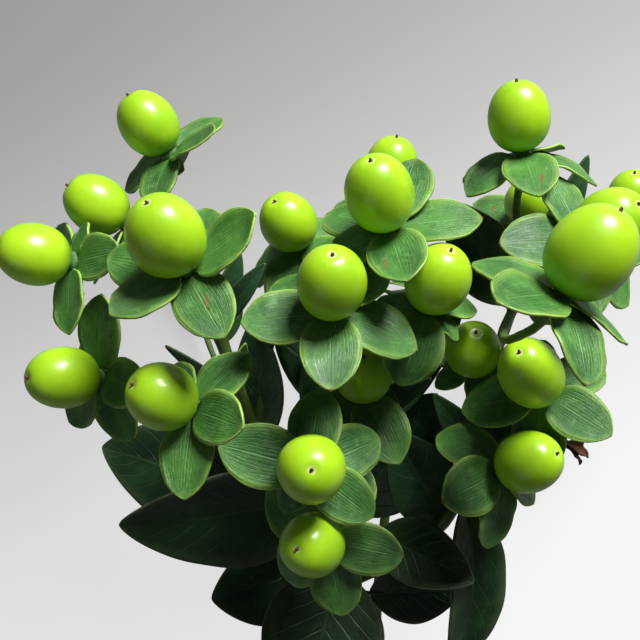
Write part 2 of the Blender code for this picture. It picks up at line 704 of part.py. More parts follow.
def calyx_mesh(berry, blades):
    """Points and triangles of five sepals grown out of the side of one small disc."""
    points, faces, chains = [], [], []
    top, foot = -GAP, -GAP - HUB_THICK
    for number, blade in enumerate(blades):
        spread, skin = rooted_mesh(berry, number, blade)
        count, shift = len(spread) // 2, len(points)
        root = {0, 1, 2, count, count + 1, count + 2}
        faces += [tuple(i + shift for i in f) for f in skin if not set(f) <= root]
        drop = SEPAL_LAYERS[number][1]
        columns = []
        for column in range(3):
            rim = spread[column]
            above, below = [shift + column], [shift + column + count]
            if drop > 0:
                above.insert(0, shift + len(spread))
                spread.append(Vector((rim.x, rim.y, top)))
            if top - drop - SEPAL_THICK > foot + 0.01:
                below.append(shift + len(spread))
                spread.append(Vector((rim.x, rim.y, foot)))
            columns.append((above, below))
        points += spread
        for (above, below), (next_above, next_below) in zip(columns[::-1], columns[1::-1]):
            faces += strip(above, next_above, points) + strip(below, next_below, points)
        chains += [above + below for above, below in columns[::-1]]
    for here, there in zip(chains[2::3], chains[3::3] + chains[:1]):
        faces += strip(here, there, points)
    for here, there in zip(chains[1:], chains[2:]):
        faces += [(chains[0][0], here[0], there[0]), (chains[0][-1], there[-1], here[-1])]
    return points, faces


def make_calyx(key, berry, space):
    """The calyx of a berry, each sepal bent or shortened until it is clear."""
    turn = heading_frame(berry.tip)
    matrix = Matrix.Translation(to_world(berry_base(berry))) @ turn.to_4x4()
    rotate, shift = np.array(turn), np.array(berry_base(berry))
    chosen, taken, skins = [], [], []
    for number in range(SEPALS):
        best = None
        for lift, swing, scale in sepal_tries():
            blade = sepal_blade(berry, number, lift, swing, scale)
            points = blade.samples()
            points = points[np.linalg.norm(points[:, :2], axis=1) > HUB_RADIUS + 1.2]
            world = points @ rotate.T + shift
            room = space.room(world)
            skin = BVHTree.FromPolygons(*rooted_mesh(berry, number, blade))
            if any(skin.overlap(other) for other in skins):
                room -= CROSSED
            if best is None or room > best[0] + 0.05:
                best = (room, blade, world, skin)
            if room >= 0:
                break
        chosen.append(best[1])
        taken.append(best[2])
        skins.append(best[3])
    space.add_points(np.vstack(taken))
    points, faces = calyx_mesh(berry, chosen)
    return solid(f"calyx_{key}", points, faces, "calyx", matrix)


def main():
    clear_scene()
    space = Space()
    for key, berry in BERRIES.items():
        make_berry(key, berry)
    stem = skin_of(make_stem(space))
    for key, leaf in LEAVES.items():
        make_leaf(key, leaf, space, stem)
    nearest_first = sorted(BERRIES, key=lambda key: -BERRIES[key].at[2])
    for key in nearest_first:
        make_calyx(key, BERRIES[key], space)


main()
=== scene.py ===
"""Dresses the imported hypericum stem: glossy berries, veined sepals, dark leaves and bark.

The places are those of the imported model. They are worked out in the head's own frame, in
millimetres, with x to the right, y up the stem and z up from the surface, and then moved
into the row frame.
"""

import logging
from dataclasses import dataclass, field
from enum import Enum
from math import cos, exp, pi, radians, sin, sqrt
from typing import Callable

import bpy
import numpy as np
from bpy.types import Material, Mesh, Node, NodeOutputs, NodeSocket, NodeTree, Object
from mathutils import Matrix, Vector


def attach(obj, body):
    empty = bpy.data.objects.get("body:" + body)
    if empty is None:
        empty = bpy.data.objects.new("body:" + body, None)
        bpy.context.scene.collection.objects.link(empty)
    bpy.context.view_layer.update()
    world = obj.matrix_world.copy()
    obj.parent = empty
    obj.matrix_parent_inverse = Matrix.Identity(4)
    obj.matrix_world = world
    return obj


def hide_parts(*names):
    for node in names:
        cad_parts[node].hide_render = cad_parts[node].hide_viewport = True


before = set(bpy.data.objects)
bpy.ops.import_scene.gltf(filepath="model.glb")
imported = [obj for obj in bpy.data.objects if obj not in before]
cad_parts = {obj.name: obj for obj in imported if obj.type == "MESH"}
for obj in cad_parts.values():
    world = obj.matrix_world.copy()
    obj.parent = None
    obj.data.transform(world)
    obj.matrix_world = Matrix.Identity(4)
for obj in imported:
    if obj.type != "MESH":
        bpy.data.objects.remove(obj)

LOG = logging.getLogger("hypericum")
MM = 0.001
MIDDLE = Vector((11.5, -93.0, 0.0))
UP = Vector((0.0, 0.0, 1.0))
HUB_THICK = 1.4
GAP = 0.3
GOLDEN_TURN = 2.399963
Point = tuple[float, float, float]
Color = tuple[float, float, float]


@dataclass(frozen=True)
class Berry:
    """A berry and its calyx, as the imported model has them, in mm and degrees."""

    at: Point
    tip: Point
    across: float
    long: float
    turn: float
    sepal: float
    flare: float
    facing: float = 0.0

    def frame(self) -> Matrix:
        """The turn whose Z is the tip direction, and X the way up the head square to it."""
        z = Vector(self.tip).normalized()
        x = (Vector((0, 1, 0)) - z * z.y).normalized()
        return Matrix((x, z.cross(x), z)).transposed()

    def foot(self) -> Vector:
        """Where the calyx sits."""
        return Vector(self.at) - Vector(self.tip).normalized() * (self.long / 2)


BERRIES: dict[str, Berry] = {f"{number:02}": Berry(*row) for number, row in enumerate((
    ((-35, 40, 71), (-0.53, 0.76, 0.37), 11.8, 13.6, -6, 12.5, -13, 0.6),
    ((-45.5, 23.5, 71), (-0.77, 0.53, 0.36), 11.8, 13.6, 20, 11, -15),
    ((-54.5, 12.5, 82.5), (-0.83, 0.15, 0.54), 12, 13.8, 50, 13, -8, 0.5),
    ((-25.5, 14, 105), (-0.29, 0.67, 0.69), 13.2, 14.5, 150, 14, 4, 0.3),
    ((-49, -11, 82.5), (-0.75, 0.04, 0.66), 11.8, 14.2, -12, 13.5, -3, 0.6),
    ((-28, -13.5, 94.5), (-0.66, 0.38, 0.65), 12, 13.2, 264, 13.5, -8, 0.4),
    ((-6.5, 20, 71), (-0.39, 0.58, 0.72), 11.6, 12.8, 250, 13, -18),
    ((2, 6.5, 99), (0.01, 0.63, 0.77), 12.2, 14, 180, 14.5, -14),
    ((10.5, 22.5, 94), (-0.25, 0.67, 0.7), 12.4, 14.9, 203, 14.5, -3),
    ((15.5, 33.5, 60.5), (0.14, 0.91, 0.39), 11.2, 12.3, 10, 11, -20),
    ((21.5, 7.5, 90), (0.25, 0.71, 0.66), 12, 13.8, 150, 13.5, -20),
    ((8.5, -10.5, 77), (-0.02, 0.57, 0.82), 11.4, 12.5, 195, 14, -22),
    ((-1.5, -26, 96.5), (0.02, 0.14, 0.99), 12.2, 13.4, 72, 14.5, -12),
    ((-1.5, -41.5, 87.5), (-0.41, 0.11, 0.91), 12, 13.2, 265, 13.5, -15),
    ((38.5, 39.5, 79.5), (-0.15, 0.9, 0.4), 12, 13.8, 200, 14, -25),
    ((47.5, 27, 49), (-0.18, 0.51, 0.84), 10.6, 11.7, 70, 13, -10),
    ((31.5, -6, 69), (-0.05, 0.57, 0.82), 11.4, 12.5, 120, 12.5, -15),
    ((40, -10, 83), (-0.43, 0.48, 0.77), 12.2, 17.7, 100, 14, -15),
    ((40.5, -27.5, 79.5), (0.62, 0.34, 0.71), 12, 13.8, 100, 14, -18),
    ((42, 10.5, 114), (0.45, 0.79, 0.41), 13.6, 15.6, 86, 14.5, -16),
    ((52.5, 17.5, 91.5), (0.43, 0.4, 0.81), 12.6, 13.9, 10, 14, -10),
    ((71, 28, 50), (-0.13, 0.79, 0.6), 11.4, 12.5, 30, 13, -15),
    ((-40, 22.5, 4.9), (-0.66, 0.62, -0.06), 11.8, 12.8, 30, 11, -14),
    ((34, 14, 5), (0.45, 0.8, -0.06), 12, 13, 54, 10, -16),
), 1)}

# Sepals that stand off their even places: change of lift and turn, and size if it isn't 1
SHIFTED: dict[str, dict[int, tuple[float, ...]]] = {
    "01": {4: (14, 0)},
    "02": {0: (0, -9, 0.88), 3: (0, -9, 0.64), 4: (-14, 0)},
    "03": {0: (0, 18), 1: (-14, -9), 3: (0, 18), 4: (0, 18, 0.52)},
    "04": {1: (-14, 0), 2: (14, 0)},
    "05": {3: (0, 18), 4: (0, -9)},
    "06": {2: (0, 18), 3: (-28, 0)},
    "07": {1: (0, 9), 4: (0, -9)},
    "08": {4: (14, -9)},
    "09": {1: (0, 9), 4: (0, 0, 0.76)},
    "10": {1: (0, -9, 0.88), 4: (0, 9)},
    "11": {0: (-42, 0), 1: (0, 18, 0.52), 4: (0, 0, 0.64)},
    "12": {0: (0, 9), 1: (0, -18, 0.52), 2: (14, 9), 3: (0, 18, 0.76)},
    "13": {1: (0, 0, 0.52), 2: (0, 18, 0.88), 3: (0, 9)},
    "14": {2: (0, 9)},
    "15": {1: (0, 9), 4: (0, 9, 0.88)},
    "16": {1: (0, 9), 3: (0, 9, 0.88), 4: (0, -9)},
    "17": {0: (0, 0, 0.52), 1: (0, 0, 0.52), 4: (14, 0)},
    "18": {1: (-28, 0)},
    "19": {2: (0, 9), 3: (-14, 0, 0.88), 4: (-28, 9)},
    "20": {2: (0, 9), 3: (-14, 0)},
    "22": {4: (0, 9)},
    "23": {0: (0, -9, 0.52), 1: (-42, 0, 0.52), 2: (0, 18), 3: (-14, 0)},
    "24": {2: (0, 0, 0.52), 3: (-42, -9, 0.64), 4: (0, 18)},
}

# The points of each branch, and its radius at the start and at the end
BRANCHES: tuple[tuple[tuple[Point, ...], float, float], ...] = (
    (((24, -232, 2.6), (21, -195, 5), (16, -155, 11), (12, -118, 20), (9, -85, 30),
      (7, -62, 38), (5, -42, 46), (4, -22, 54)), 2.9, 1.9),
    (((9, -85, 30), (0, -62, 33), (-9, -42, 43), (-14, -27, 53), (-18, -13, 62),
      (-21.5, -1, 68)), 1.9, 1.3),
    (((-14, -27, 53), (-13, -15, 55), (-11, -4, 58)), 1.2, 1),
    (((-18, -13, 62), (-26, -13, 68), (-33, -12.5, 71)), 1.1, 0.95),
    (((-21.5, -1, 68), (-28, 7, 71), (-34, 10.5, 73)), 1.1, 0.95),
    (((4, -22, 54), (4, -12, 61), (5, -3, 68)), 1.5, 1.2),
    (((7, -62, 38), (2, -52, 52), (-0.5, -43, 64)), 1.6, 1.2),
    (((7, -62, 38), (18, -56, 43), (28, -46, 49), (35, -30, 58)), 1.9, 1.4),
    (((28, -46, 49), (36, -24, 47), (42, -2, 50), (46, 8, 55)), 1.4, 1.1),
    (((12, -118, 20), (0, -85, 13), (-16, -48, 9), (-28, -14, 6.8)), 1.6, 1.1),
    (((12, -118, 20), (15, -82, 12), (19, -46, 9), (27, -20, 6.8)), 1.6, 1.1),
)

STALKS: dict[str, tuple[Point, ...]] = dict(zip(BERRIES, (
    ((-34, 10.5, 73), (-36.5, 20, 62), (-36, 29, 60)),
    ((-34, 10.5, 73), (-36, 15.5, 68)),
    ((-34, 10.5, 73), (-41, 11.5, 75)),
    ((-21.5, -1, 68), (-21.5, 3, 82)),
    ((-33, -12.5, 71), (-38, -12, 73.5)),
    ((-26, -13, 68), (-22.5, -16, 76)),
    ((-11, -4, 58), (-7, 7, 60)),
    ((5, -3, 68), (2.5, 0, 80)),
    ((5, -3, 68), (12, 9, 76)),
    ((5, -3, 68), (13, 10, 58), (14.5, 20, 55)),
    ((5, -3, 68), (15, -3, 74)),
    ((4, -12, 61), (8, -16.5, 65)),
    ((-0.5, -43, 64), (-2.5, -31, 76)),
    ((-0.5, -43, 64), (3, -44, 73)),
    ((46, 8, 55), (41.5, 22, 64)),
    ((42, -2, 50), (49, 12, 38)),
    ((35, -30, 58), (32.5, -17, 59)),
    ((35, -30, 58), (46, -19, 64)),
    ((35, -30, 58), (32.5, -32.5, 66)),
    ((46, 8, 55), (35, -3, 82), (35.5, -2, 100)),
    ((46, 8, 55), (47, 12, 72)),
    ((46, 8, 55), (62, 14, 44), (71, 19, 39)),
    ((-28, -14, 6.8), (-34, 4, 6.4)),
    ((27, -20, 6.8), (30, -4, 6.4)),
)))


@dataclass(frozen=True)
class Leaf:
    """A leaf's plan: its root and end on the stem, the way it faces, and its bends.

    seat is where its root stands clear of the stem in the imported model, if it is a piece
    of its own there, and extra the change of its bow in degrees.
    """

    root: Point
    end: Point
    up: Point
    width: float
    bow: float = 20.0
    fold: float = 0.2
    wave: float = 0.0
    seat: Point | None = None
    extra: float = 0.0


LEAVES: dict[str, Leaf] = {
    "01": Leaf((4.8, -40, 46.5), (-41, -44, 58), (0, -0.35, 0.94), 24, -12, 0.28, 0.6,
               (2.41, -40.5, 47.88), 30),
    "02": Leaf((-9, -42, 43), (-51, -32, 33), (0.1, 0.05, 1), 25, 12, 0.15, 0.5,
               (-11.51, -41.34, 43.16)),
    "03": Leaf((-1, -60, 33.5), (-23, -65, 42), (0.3, 0.1, 0.9), 20, 15, 0.2, 0.3,
               (-3.18, -60.47, 35.2)),
    "04": Leaf((6, -50, 42.7), (-2, -79, 55), (0.1, 0.35, 0.9), 27, 25, 0.25, 0.4,
               (4.11, -56.9, 48.48), -20),
    "05": Leaf((7.3, -66, 36.7), (29, -64, 40), (-0.1, 0, 1), 14, 20, 0.2, 0.3,
               (11.98, -65.55, 38.92)),
    "06": Leaf((32.3, -38, 53), (30, -70, 50), (0.5, 0.15, 0.85), 16, 60, 0.3, 0.5,
               (32.54, -41.15, 53.5)),
    "07": Leaf((5.3, -46, 44.5), (24, -53, 57), (0, 0.3, 0.95), 14, 25, 0.25, 0.4,
               (12.91, -47.74, 53.08)),
    "08": Leaf((43, 2, 52), (30, 24, 57), (0.1, -0.2, 1), 15, 15, 0.25, 0.4,
               (42.09, 3.52, 52.93), -20),
    "09": Leaf((12, -118, 20), (-28, -108, 30), (0.1, 0, 1), 22, 20, 0.25, 0.5,
               (8.99, -117.22, 21.82)),
    "10": Leaf((12, -118, 20), (51, -110, 26), (-0.1, 0, 1), 22, 20, 0.25, 0.5,
               (14.83, -117.4, 21.37)),
}

BRACTS: tuple[Leaf, ...] = (
    Leaf((-13, -28, 52), (-14, 0, 64), (-0.1, -0.3, 0.9), 11, -15, 0.35, 0.2),
    Leaf((4, -27, 52), (33, 12, 50), (-0.2, -0.2, 0.95), 18, 15, 0.3, 0.3),
    Leaf((4, -22, 54), (-5, 19, 48), (0, -0.1, 1), 20, 20, 0.25, 0.4),
    Leaf((7, -45, 44), (26, -17, 53), (-0.1, -0.1, 1), 21, 20, 0.25, 0.3),
    Leaf((6, -48, 42), (-18, -24, 44), (0.1, -0.1, 1), 17, 20, 0.25, 0.3),
    Leaf((4, -30, 50), (2, 2, 58), (0, -0.3, 0.95), 15, 25, 0.25, 0.3),
    Leaf((35, -31, 57), (48, -6, 58), (0.1, -0.3, 0.95), 13, 20, 0.25, 0.3),
    Leaf((-21.5, 0, 69), (-16, 13, 74), (0.2, -0.3, 0.9), 5, 25, 0.3),
    Leaf((-21, -1, 68.5), (-11, 11, 76), (-0.3, -0.2, 0.9), 4.5, 20, 0.3),
    Leaf((-20.5, -5, 66), (-17, 7, 64), (0.9, 0, 0.4), 6, 10, 0.3),
    Leaf((-15, -21, 57), (-33, -6, 61), (-0.2, -0.8, 0.5), 6, -20, 0.3),
    Leaf((-18, -13, 62), (-15.5, -5, 66), (0.3, -0.3, 0.9), 3, -10, 0.2),
    Leaf((-34, 11, 73), (-35.5, 15.5, 78), (0.6, 0.1, 0.6), 2.2, 5, 0.2),
    Leaf((4, -21, 55), (22, -12, 73), (-0.3, -0.5, 0.8), 7, 20, 0.3),
    Leaf((35, -29, 57), (24, -16, 67), (0.2, -0.4, 0.9), 6.5, 30, 0.3),
    Leaf((46, 8, 55), (56, 34, 66), (0, -0.4, 0.9), 7, 20, 0.3),
    Leaf((28, -46, 49), (16, -25, 56), (0.3, -0.1, 0.95), 16, 20, 0.3),
)

# Dried scraps of petal that hang on a sepal's edge, by the calyx's number
SCRAPS: dict[str, tuple[Leaf, ...]] = {
    "18": (Leaf((48.7, -24.6, 74.6), (53.2, -27.2, 73), (0.3, 0.4, 0.8), 2.4, 60, 0.9, 0.7),
           Leaf((48.9, -25.2, 74.4), (51.6, -28.4, 73.6), (0.6, 0.4, 0.6), 1.5, 70, 0.9, 0.6)),
}


class Slot(Enum):
    """The record's material slots."""

    STEM = "stem"
    BERRY = "berry"
    CALYX = "calyx"
    LEAF = "leaf"


# Finishes


class Tree:
    """A short way to lay nodes in a material or a node group."""

    def __init__(self, tree: NodeTree) -> None:
        """Keeps the tree that the nodes go into."""
        self.tree = tree

    def add(self, kind: str, *sources: object, **values: object) -> Node:
        """A node of this kind, with its settings by name and its first inputs fed."""
        node = self.tree.nodes.new(kind)
        for name, value in values.items():
            setattr(node, name, value)
        for index, source in enumerate(sources):
            self.feed(node, index, source)
        return node

    def feed(self, node: Node, socket: int | str, source: object) -> None:
        """Links a source into a socket, or sets the socket to a value or colour."""
        place = node.inputs[socket]
        if isinstance(source, NodeSocket):
            self.tree.links.new(source, place)
        else:
            place.default_value = (*source, 1.0) if place.type == "RGBA" else source

    def math(self, operation: str, first: object, second: object = 0.0) -> NodeSocket:
        """One step of arithmetic on one or two values."""
        return self.add("ShaderNodeMath", first, second, operation=operation).outputs[0]

    def times(self, first: object, second: object) -> NodeSocket:
        """One value times the other."""
        return self.math("MULTIPLY", first, second)

    def split(self, source: object) -> NodeOutputs:
        """The three parts of a vector."""
        return self.add("ShaderNodeSeparateXYZ", source).outputs

    def group(self, name: str, **sources: object) -> NodeOutputs:
        """What a node group gives out, fed by the names of its inputs."""
        node = self.add("ShaderNodeGroup", node_tree=bpy.data.node_groups[name])
        for socket, source in sources.items():
            self.feed(node, socket, source)
        return node.outputs

    def ramp(self, value: object, low: float, high: float, start: float = 0.0,
             end: float = 1.0) -> NodeSocket:
        """A smooth step of a value between low and high, from start to end."""
        return self.add("ShaderNodeMapRange", value, low, high, start, end,
                        interpolation_type="SMOOTHSTEP").outputs[0]

    def mix(self, share: object, first: object, second: object) -> NodeSocket:
        """A colour between two, by a share."""
        node = self.add("ShaderNodeMix", share, data_type="RGBA")
        self.feed(node, 6, first)
        self.feed(node, 7, second)
        return node.outputs[2]

    def noise(self, where: object, scale: float, detail: float = 3.0,
              rough: float = 0.5) -> NodeSocket:
        """Noise at a scale, from 0 to 1."""
        node = self.add("ShaderNodeTexNoise", where)
        for socket, value in (("Scale", scale), ("Detail", detail), ("Roughness", rough)):
            self.feed(node, socket, value)
        return node.outputs[0]


def new_group(name: str, inputs: dict[str, str], *outputs: str) -> tuple[
        Tree, NodeOutputs, Node]:
    """Starts a shader node group.

    Args:
        name: the group's name.
        inputs: the type of each input by name, Float or Vector.
        outputs: the names of the numbers that it gives out.

    Returns:
        A way to lay nodes in it, what comes into it, and its output node.
    """
    group = bpy.data.node_groups.new(name, "ShaderNodeTree")
    for label, kind in inputs.items():
        group.interface.new_socket(label, in_out="INPUT", socket_type=f"NodeSocket{kind}")
    for label in outputs:
        group.interface.new_socket(label, in_out="OUTPUT", socket_type="NodeSocketFloat")
    tree = Tree(group)
    return tree, tree.add("NodeGroupInput").outputs, tree.add("NodeGroupOutput")


class Veins:
    """The patterns that sepals and leaves share, each a node group built once."""

    inputs: dict[str, str] = {"UV": "Vector", "Count": "Float", "Wander": "Float"}

    def __init__(self) -> None:
        """Builds the groups."""
        self._parallel()
        self._feather()
        self._edge()

    def _centred(self, tree: Tree, given: NodeOutputs) -> tuple[NodeSocket, NodeSocket]:
        """The place across from the midrib and the place along, a little wandering."""
        place = tree.split(given["UV"])
        noise = tree.noise(given["UV"], 5.0, 2.0)
        off = tree.times(tree.math("SUBTRACT", noise, 0.5), given["Wander"])
        return tree.math("ADD", tree.math("SUBTRACT", place[0], 0.5), off), place[1]

    def _parallel(self) -> None:
        """Lines from root to tip that close in at both ends, as on a sepal."""
        tree, given, sink = new_group("parallel veins", self.inputs, "Lines", "Midrib")
        across, along = self._centred(tree, given)
        wave = tree.math("PINGPONG", tree.times(across, given["Count"]), 0.5)
        lines = tree.ramp(wave, 0.0, 0.16, 0.55, 0.0)
        place = tree.add("ShaderNodeCombineXYZ", tree.times(across, 26.0),
                         tree.times(along, 2.2))
        streaks = tree.ramp(tree.noise(place.outputs[0], 1.0, 4.0, 0.65), 0.48, 0.72)
        both = tree.math("ADD", lines, streaks)
        fade = tree.ramp(along, 0.45, 0.98, 1.0, 0.35)
        tree.feed(sink, "Lines", tree.times(both, fade))
        rib = tree.ramp(tree.math("ABSOLUTE", across), 0.0, 0.02, 0.8, 0.0)
        tree.feed(sink, "Midrib", tree.times(rib, fade))

    def _feather(self) -> None:
        """A midrib with side veins that run out and forward, as on a leaf."""
        tree, given, sink = new_group("feather veins", self.inputs, "Lines", "Midrib")
        across, along = self._centred(tree, given)
        off = tree.math("ABSOLUTE", across)
        slant = tree.math("SUBTRACT", along, tree.times(off, 0.55))
        wave = tree.math("PINGPONG", tree.times(slant, given["Count"]), 0.5)
        lines = tree.ramp(wave, 0.0, 0.1, 1.0, 0.0)
        fade = tree.ramp(off, 0.3, 0.49, 1.0, 0.0)
        tree.feed(sink, "Lines", tree.times(lines, fade))
        tree.feed(sink, "Midrib", tree.ramp(off, 0.0, 0.03, 1.0, 0.0))

    def _edge(self) -> None:
        """How near a point of a blade is to its edge, thin and wide, its tip and root."""
        tree, given, sink = new_group(
            "blade edge", {"UV": "Vector", "Width": "Float"}, "Margin", "Glow", "Tip", "Root")
        across, along, _ = tree.split(given["UV"])
        off = tree.times(tree.math("ABSOLUTE", tree.math("SUBTRACT", across, 0.5)), 2.0)
        inner = tree.math("SUBTRACT", 1.0, given["Width"])
        thin = tree.math("MAXIMUM", tree.ramp(off, inner, 1.0), tree.ramp(along, 0.955, 1.0))
        tree.feed(sink, "Margin", thin)
        wide = tree.ramp(off, tree.math("SUBTRACT", inner, 0.3), 1.0)
        tree.feed(sink, "Glow", tree.math("MAXIMUM", wide, tree.ramp(along, 0.8, 1.0)))
        tree.feed(sink, "Tip", tree.ramp(along, 0.93, 0.985))
        tree.feed(sink, "Root", tree.ramp(along, 0.04, 0.3, 1.0, 0.0))


def base_material(name: str, **plain: float | Point) -> tuple[
        Material, Tree, Node, NodeOutputs]:
    """A new material with its shader.

    Args:
        name: the material's name.
        plain: what is the same all over, by the shader's sockets with _ for a space.

    Returns:
        The material, a way to lay nodes in it, its Principled BSDF, and its coordinates.
    """
    made = bpy.data.materials.new(name)
    made.use_nodes = True
    tree, shader = Tree(made.node_tree), made.node_tree.nodes["Principled BSDF"]
    for label, value in plain.items():
        tree.feed(shader, label.replace("_", " "), value)
    return made, tree, shader, tree.add("ShaderNodeTexCoord").outputs


def surface(tree: Tree, shader: Node, colour: object, height: object, strength: float,
            distance: float) -> None:
    """Feeds a colour and a bump's height into the shader, with distance in metres."""
    tree.feed(shader, "Base Color", colour)
    node = tree.add("ShaderNodeBump", strength, distance)
    tree.feed(node, "Height", height)
    tree.feed(shader, "Normal", node.outputs[0])


@dataclass(frozen=True)
class BerrySkin:
    """The glossy yellow-green skin of a berry."""

    ripe: Color = (0.44, 0.74, 0.018)
    deep: Color = (0.33, 0.62, 0.012)
    # foot is painted shade: a darker green for the lower part of the skin, where the calyx and
    # the underside are in shadow
    foot: Color = (0.13, 0.29, 0.01)
    pale: Color = (0.52, 0.72, 0.08)
    # The pale ring round the dimple: partly the skin's paler colour there, partly a painted
    # highlight where the dimple's rim catches the light
    pale_ring_and_highlight: Color = (0.66, 0.76, 0.28)

    def material(self) -> Material:
        """The finish, with its UV running round the berry and from foot to tip."""
        made, tree, shader, places = base_material(
            "berry skin", Specular_IOR_Level=0.4, Coat_Weight=0.3, Coat_Roughness=0.18,
            Subsurface_Weight=0.12, Subsurface_Radius=(0.6, 1.0, 0.2),
            Subsurface_Scale=0.0015)
        here, along = places["Object"], tree.split(places["UV"])[1]
        cloud = tree.ramp(tree.noise(here, 110.0, 3.0), 0.35, 0.68)
        colour = tree.mix(cloud, self.deep, self.ripe)
        # Painted shade: darkens the skin from about a third of the way up down to the foot,
        # under the calyx
        colour = tree.mix(tree.ramp(along, 0.02, 0.36, 0.9, 0.0), colour, self.foot)
        # Pale ring round the dimple: paler skin and a painted highlight on its rim
        colour = tree.mix(tree.ramp(along, 0.955, 0.975, 0.0, 0.7), colour, self.pale_ring_and_highlight)
        specks = tree.ramp(tree.noise(here, 1500.0, 1.0), 0.66, 0.78, 0.0, 0.3)
        tree.feed(shader, "Roughness", tree.ramp(cloud, 0.0, 1.0, 0.4, 0.32))
        surface(tree, shader, tree.mix(specks, colour, self.pale),
                tree.noise(here, 700.0, 2.0), 0.12, 0.0002)
        return made


@dataclass(frozen=True)
class StyleStub:
    """The dry brown stub at a berry's tip."""

    dark: Color = (0.035, 0.014, 0.006)
    light: Color = (0.16, 0.075, 0.025)

    def material(self) -> Material:
        """The finish."""
        made, tree, shader, places = base_material("style stub", Roughness=0.75)
        cloud = tree.noise(places["Object"], 1800.0, 3.0)
        surface(tree, shader, tree.mix(cloud, self.dark, self.light), cloud, 0.6, 0.0002)
        return made


class VeinStyle(Enum):
    """How the veins of a blade run."""

    PARALLEL = "parallel veins"
    FEATHER = "feather veins"


@dataclass(frozen=True)
class BladeFinish:
    """One face of a sepal or leaf: its green, veins, pale edge and root. On the large leaves
    the pale edge is a painted highlight where the edge catches the light.
    """

    name: str
    dark: Color
    light: Color
    vein: Color
    margin_and_edge_highlight: Color
    root: Color
    veins: VeinStyle
    count: float
    strength: float
    rough: float
    blotch: float = 0.0
    relief: float = -1.0
    rim: float = 0.06
    tip: Color | None = None
    scars: tuple[tuple[float, float], ...] = ()

    def material(self) -> Material:
        """The finish, with its UV running across the blade and from root to tip."""
        made, tree, shader, places = base_material(
            self.name, Specular_IOR_Level=0.4, Coat_Weight=0.1, Coat_Roughness=0.35,
            Subsurface_Weight=0.06, Subsurface_Scale=0.0008)
        uv, here = places["UV"], places["Object"]
        cloud = tree.ramp(tree.noise(here, 95.0, 4.0, 0.6), 0.32, 0.7)
        colour = tree.mix(cloud, self.dark, self.light)
        veins = tree.group(self.veins.value, UV=uv, Count=self.count, Wander=0.05)
        patchy = tree.ramp(tree.noise(here, 260.0, 3.0), 0.3, 0.65, 0.35, 1.0)
        lines = tree.times(veins["Lines"], patchy)
        both = tree.math("MAXIMUM", lines, veins["Midrib"])
        colour = tree.mix(tree.times(both, self.strength), colour, self.vein)
        mottle = tree.ramp(tree.noise(here, 420.0, 3.0, 0.7), 0.5, 0.72, 0.0, 0.3)
        colour = tree.mix(mottle, colour, self.vein)
        edge = tree.group("blade edge", UV=uv, Width=self.rim)
        colour = tree.mix(tree.times(edge["Root"], 0.55), colour, self.root)
        broken = tree.ramp(tree.noise(here, 210.0, 2.0), 0.3, 0.6, 0.35, 0.9)
        rim = tree.math("MAXIMUM", tree.times(edge["Margin"], broken),
                        tree.times(edge["Glow"], 0.3))
        # Pale edge: the sepals' own paler margin, and on the large leaves a painted highlight
        # along the lit edge
        colour = tree.mix(rim, colour, self.margin_and_edge_highlight)
        if self.tip:
            dry = tree.ramp(tree.noise(here, 60.0, 1.0), 0.52, 0.6, 0.0, 0.9)
            colour = tree.mix(tree.times(edge["Tip"], dry), colour, self.tip)
        if self.blotch:
            spots = tree.ramp(tree.noise(here, 330.0, 2.0, 0.7), 0.7, 0.76, 0.0, self.blotch)
            colour = tree.mix(spots, colour, (0.07, 0.035, 0.012))
        for place in self.scars:
            colour = tree.mix(self.scar(tree, here, place), colour, (0.2, 0.1, 0.045))
        tree.feed(shader, "Roughness", tree.ramp(
            cloud, 0.0, 1.0, self.rough + 0.08, self.rough - 0.05))
        grain = tree.times(tree.noise(here, 1300.0, 2.0), 0.5)
        height = tree.math("ADD", grain, tree.times(both, self.relief))
        surface(tree, shader, colour, height, 0.5, 0.0003)
        return made

    def scar(self, tree: Tree, here: object, place: tuple[float, float]) -> NodeSocket:
        """How much of a healed scratch shows, about 2 mm long, at an x and y in metres."""
        flat = tree.add("ShaderNodeVectorMath", here, (1.0, 0.4, 0.0), operation="MULTIPLY")
        away = tree.add("ShaderNodeVectorMath", flat.outputs[0],
                        (place[0], place[1] * 0.4, 0.0), operation="DISTANCE")
        ragged = tree.times(tree.noise(here, 900.0, 3.0), 0.0012)
        return tree.ramp(tree.math("ADD", away.outputs["Value"], ragged), 0.0007, 0.0012,
                         0.75, 0.0)


@dataclass(frozen=True)
class Bark:
    """The skin of the stems: green, browner towards the cut end."""

    green: Color = (0.115, 0.205, 0.035)
    olive: Color = (0.055, 0.105, 0.018)
    brown: Color = (0.115, 0.055, 0.022)

    def material(self) -> Material:
        """The finish, with its UV running round the stem and along it."""
        made, tree, shader, places = base_material("stem bark")
        here = places["Object"]
        cloud = tree.ramp(tree.noise(here, 120.0, 4.0, 0.6), 0.35, 0.7)
        colour = tree.mix(cloud, self.olive, self.green)
        low = tree.ramp(tree.split(here)[1], -0.14, 0.03, 1.0, 0.0)
        colour = tree.mix(tree.times(low, 0.75), colour, self.brown)
        stretch = tree.add("ShaderNodeMapping", places["UV"])
        tree.feed(stretch, "Scale", (9.0, 60.0, 1.0))
        fibre = tree.noise(stretch.outputs[0], 1.0, 4.0, 0.6)
        colour = tree.mix(tree.ramp(fibre, 0.55, 0.8, 0.0, 0.4), colour, self.brown)
        tree.feed(shader, "Roughness", tree.ramp(fibre, 0.3, 0.7, 0.38, 0.6))
        surface(tree, shader, colour, fibre, 0.5, 0.0004)
        return made


